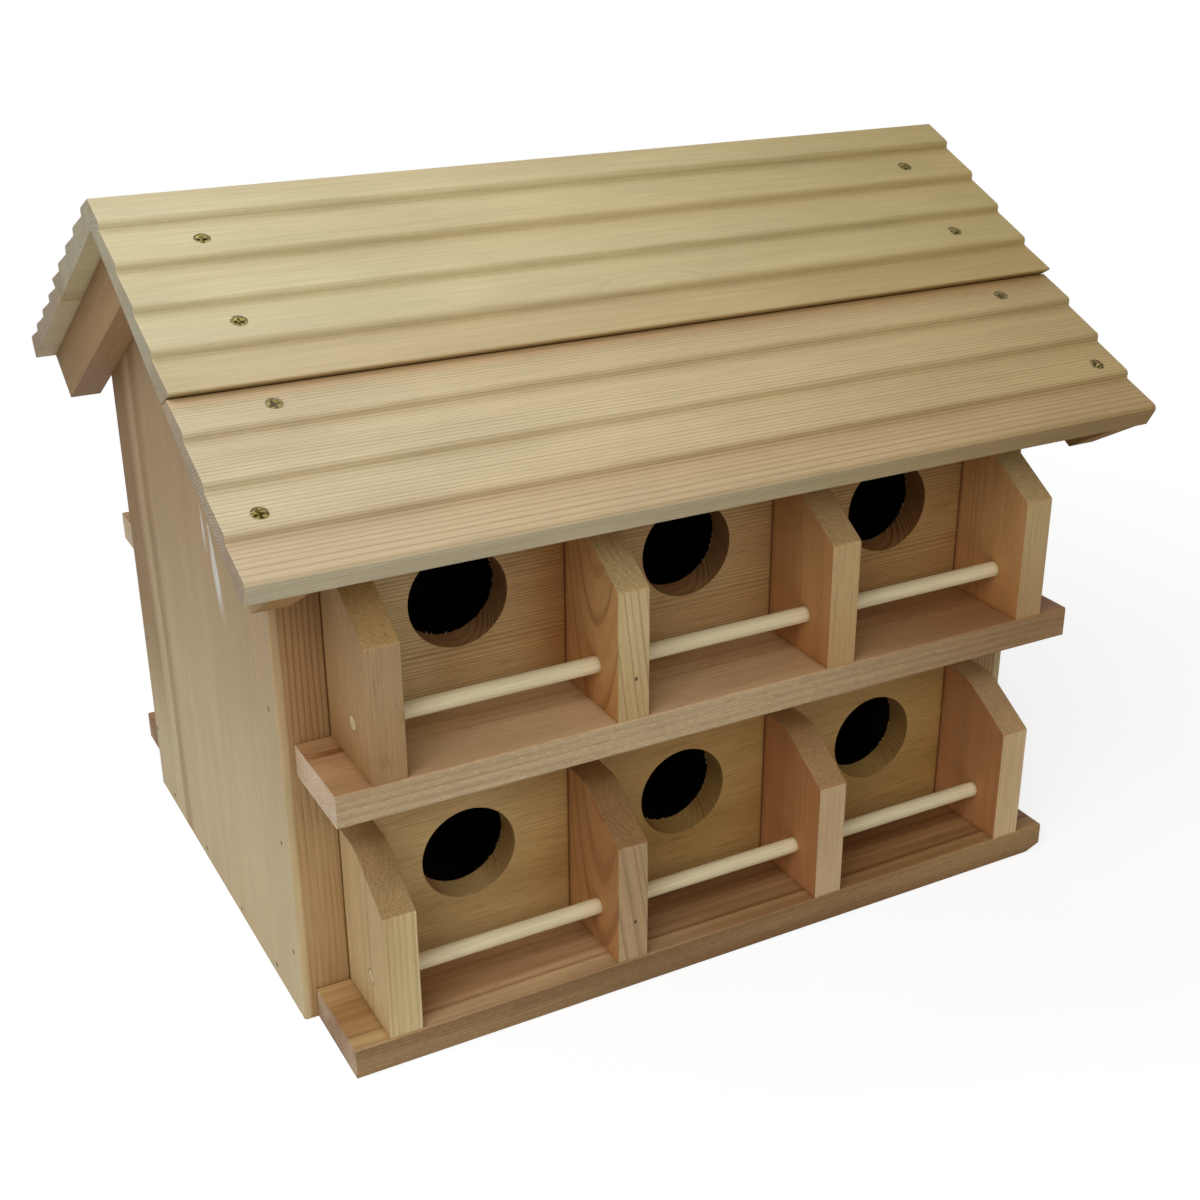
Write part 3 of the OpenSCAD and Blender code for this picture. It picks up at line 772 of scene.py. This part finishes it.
def entrance_fibres():
    """Torn fibres round the inner rim of each entrance, thickest where the saw came out."""
    draw = random.Random(23)
    fibres = bmesh.new()
    for _, centre in ENTRANCES:
        side = 1 if centre.y > 0 else -1
        rim_y = side * (WALL_Y - PANEL_T)
        out = Vector((0, side, 0))
        clump = draw.uniform(0, math.pi)
        for _ in range(90):
            angle = draw.uniform(0, 2 * math.pi)
            thick = 0.35 + 0.65 * max(0, math.sin(3 * angle + clump)) * abs(math.sin(angle * 1.5 + clump))
            ray = Vector((math.cos(angle), 0, math.sin(angle)))
            along = Vector((-math.sin(angle), 0, math.cos(angle)))
            root = Vector((centre.x, rim_y, centre.z)) + (ENTRANCE_R + 0.1 * MM) * ray + 0.3 * MM * out
            tip = root - draw.uniform(0.5, 1.9) * thick * MM * ray + draw.uniform(-0.7, 0.7) * MM * along
            tip -= draw.uniform(0, 0.8) * MM * out
            sliver(fibres, root, tip, along, draw.uniform(0.4, 1.1) * MM)
    torn = plain("rim_fibre", colour(176, 140, 96), 0.75, mottle=0.3)
    piece("entrance_fibres", fibres, torn, slot="panel_cedar")


def nail(mesh_data, centre, normal, radius):
    """A sunk nail: a flat rim painted dark as the shade of its hole, and the head inside it."""
    side = normal.orthogonal().normalized()
    other = normal.cross(side)
    rows = []
    for r, lift in ((1.0, 0.03), (0.72, 0.06), (0.66, 0.05)):
        rows.append([mesh_data.verts.new(centre + lift * MM * normal + r * radius * (
            math.cos(math.pi * k / 8) * side + math.sin(math.pi * k / 8) * other)) for k in range(16)])
    middle = mesh_data.verts.new(centre + 0.05 * MM * normal)
    foot = mesh_data.verts.new(centre - 0.5 * MM * normal)
    for k in range(16):
        n = (k + 1) % 16
        for outer, inner in zip(rows, rows[1:]):
            mesh_data.faces.new((outer[k], outer[n], inner[n], inner[k]))
        mesh_data.faces.new((rows[-1][k], rows[-1][n], middle)).material_index = 1
        mesh_data.faces.new((rows[0][n], rows[0][k], foot))


# Nails in an end wall, in millimetres back from its front edge and up from the floor
WALL_NAILS = (
    (14, 193), (14, 110), (11, 40), (49, 7), (118, 5),
    (193, 7), (271, 7), (300, 45), (297, 116), (292, 193),
)


def nails():
    """Nails in the end walls' edges, the battens' outer faces and the second divider's front edge."""
    heads = bmesh.new()
    draw = random.Random(31)
    for side in (-1, 1):
        normal = Vector((side, 0, 0))
        for along, height in WALL_NAILS:
            spot = Vector((side * WALL_X, -WALL_Y + along * MM, height * MM))
            nail(heads, spot, normal, draw.uniform(1.4, 1.8) * MM)
        batten_x = high("front_right_batten").x
        for slope_side in (-1, 1):
            for down in (0.075, 0.185):
                spot = Vector((side * batten_x, 0, RIDGE_Z)) + down * down_slope(slope_side)
                spot -= (17 * MM) * out_of_slope(slope_side)
                nail(heads, spot, normal, 1.0 * MM)
    for y_side, face in ((-1, "front"), (1, "back")):
        for storey in ("upper", "lower"):
            for i in range(1, 5):
                lo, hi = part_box(f"{face}_{storey}_divider_{i}")
                if i == 2:
                    spot = Vector(((lo.x + hi.x) / 2 + 1.5 * MM, lo.y if y_side < 0 else hi.y,
                                   lo.z + (25 + draw.uniform(-2, 4)) * MM))
                    nail(heads, spot, Vector((0, y_side, 0)), 1.1 * MM)
    # The dark rim round each head is painted shade, standing for the hole the nail is sunk in.
    piece("nails", heads, plain("nail_hole_shade", colour(52, 36, 20), 0.8),
          plain("nail_head", colour(120, 92, 58), 0.5, metallic=0.3, mottle=0.3))


# ---------------------------------------------------------------- studio

def camera():
    eye = Vector((-0.4658, -0.9331, 0.6175))
    aim = Vector((-0.0476, -0.1972, 0.2340))
    roll = 0.0075
    forward = (aim - eye).normalized()
    right = forward.cross(Vector((0, 0, 1))).normalized()
    up = right.cross(forward)
    tilted_right = right * math.cos(roll) + up * math.sin(roll)
    tilted_up = up * math.cos(roll) - right * math.sin(roll)
    data = bpy.data.cameras.new("camera")
    data.sensor_width = 36.0
    data.lens = 51.30
    data.shift_x = -0.0438
    data.shift_y = 0.0034
    lens = bpy.data.objects.new("camera", data)
    turn = Matrix((tilted_right, tilted_up, -forward)).transposed()
    lens.matrix_world = Matrix.Translation(eye) @ turn.to_4x4()
    bpy.context.scene.collection.objects.link(lens)
    bpy.context.scene.camera = lens


def softbox(name, place, size, power, tint=(1.0, 1.0, 1.0)):
    data = bpy.data.lights.new(name, "AREA")
    data.shape = "SQUARE"
    data.size = size
    data.energy = power
    data.color = tint
    lamp = bpy.data.objects.new(name, data)
    lamp.location = place
    lamp.rotation_euler = (Vector((0, 0, 0.2)) - Vector(place)).to_track_quat("-Z", "Y").to_euler()
    bpy.context.scene.collection.objects.link(lamp)


def lights():
    softbox("overhead", (-0.75, -0.6, 1.7), 1.0, 3.5)
    softbox("above_ridge", (0.1, 0.7, 1.6), 1.0, 6.0)
    softbox("near", (-0.7, -0.3, 1.1), 0.5, 2.2, (0.92, 0.98, 1.0))
    softbox("left", (-1.2, -1.2, 1.3), 1.0, 11.5, (0.96, 0.99, 1.0))
    softbox("front", (0.0, -1.8, 1.2), 1.0, 8.0, (1.0, 0.96, 0.88))
    softbox("behind", (-1.0, 0.8, 1.5), 1.0, 6.0, (0.95, 0.98, 1.0))
    world = bpy.data.worlds.new("studio")
    world.use_nodes = True
    bpy.context.scene.world = world
    tree = world.node_tree
    tree.nodes.clear()
    path = add(tree, "LightPath").outputs
    seen = calc(tree, "MAXIMUM", path["Is Camera Ray"], path["Is Glossy Ray"])
    seen = calc(tree, "MAXIMUM", seen, path["Is Transmission Ray"])
    room = add(tree, "Background", {"Color": (1, 1, 1, 1), "Strength": 0.04}).outputs[0]
    white = add(tree, "Background", {"Color": (1, 1, 1, 1), "Strength": 1.0}).outputs[0]
    mix = add(tree, "MixShader", {0: seen, 1: room, 2: white}).outputs[0]
    tree.links.new(mix, add(tree, "OutputWorld").inputs["Surface"])


def floor():
    """Pale paper that keeps the house's shadow for the camera and fades to white farther out."""
    mesh = bpy.data.meshes.new("floor")
    half = 6.0
    corners = [(-half, -half, 0), (half, -half, 0), (half, half, 0), (-half, half, 0)]
    mesh.from_pydata(corners, [], [(0, 1, 2, 3)])
    plane = bpy.data.objects.new("floor", mesh)
    bpy.context.scene.collection.objects.link(plane)
    material = bpy.data.materials.new("floor_paper")
    material.use_nodes = True
    tree = material.node_tree
    tree.nodes.clear()
    paper = add(tree, "BsdfDiffuse", {"Color": (0.9, 0.9, 0.9, 1)}).outputs[0]
    seen_paper = add(tree, "BsdfDiffuse", {"Color": (0.36, 0.36, 0.36, 1)}).outputs[0]
    glow = add(tree, "Emission", {"Color": (1, 1, 1, 1), "Strength": 0.79}).outputs[0]
    bright = add(tree, "AddShader", {0: seen_paper, 1: glow}).outputs[0]
    path = add(tree, "LightPath").outputs
    white = add(tree, "Emission", {"Color": (1, 1, 1, 1), "Strength": 1.0}).outputs[0]
    reach = spread(tree, vector(tree, "LENGTH", add(tree, "TexCoord").outputs["Object"]), 0.4, 0.95)
    faded = add(tree, "MixShader", {0: reach, 1: bright, 2: white}).outputs[0]
    mix = add(tree, "MixShader", {0: path["Is Camera Ray"], 1: paper, 2: faded}).outputs[0]
    tree.links.new(mix, add(tree, "OutputMaterial").inputs["Surface"])
    mesh.materials.append(material)


camera()
lights()
floor()
end_walls()
panels()
shelves()
dividers()
perches()
roof()
hidden_boards()
screws()
entrance_fibres()
nails()

bpy.context.scene.view_settings.view_transform = "Standard"
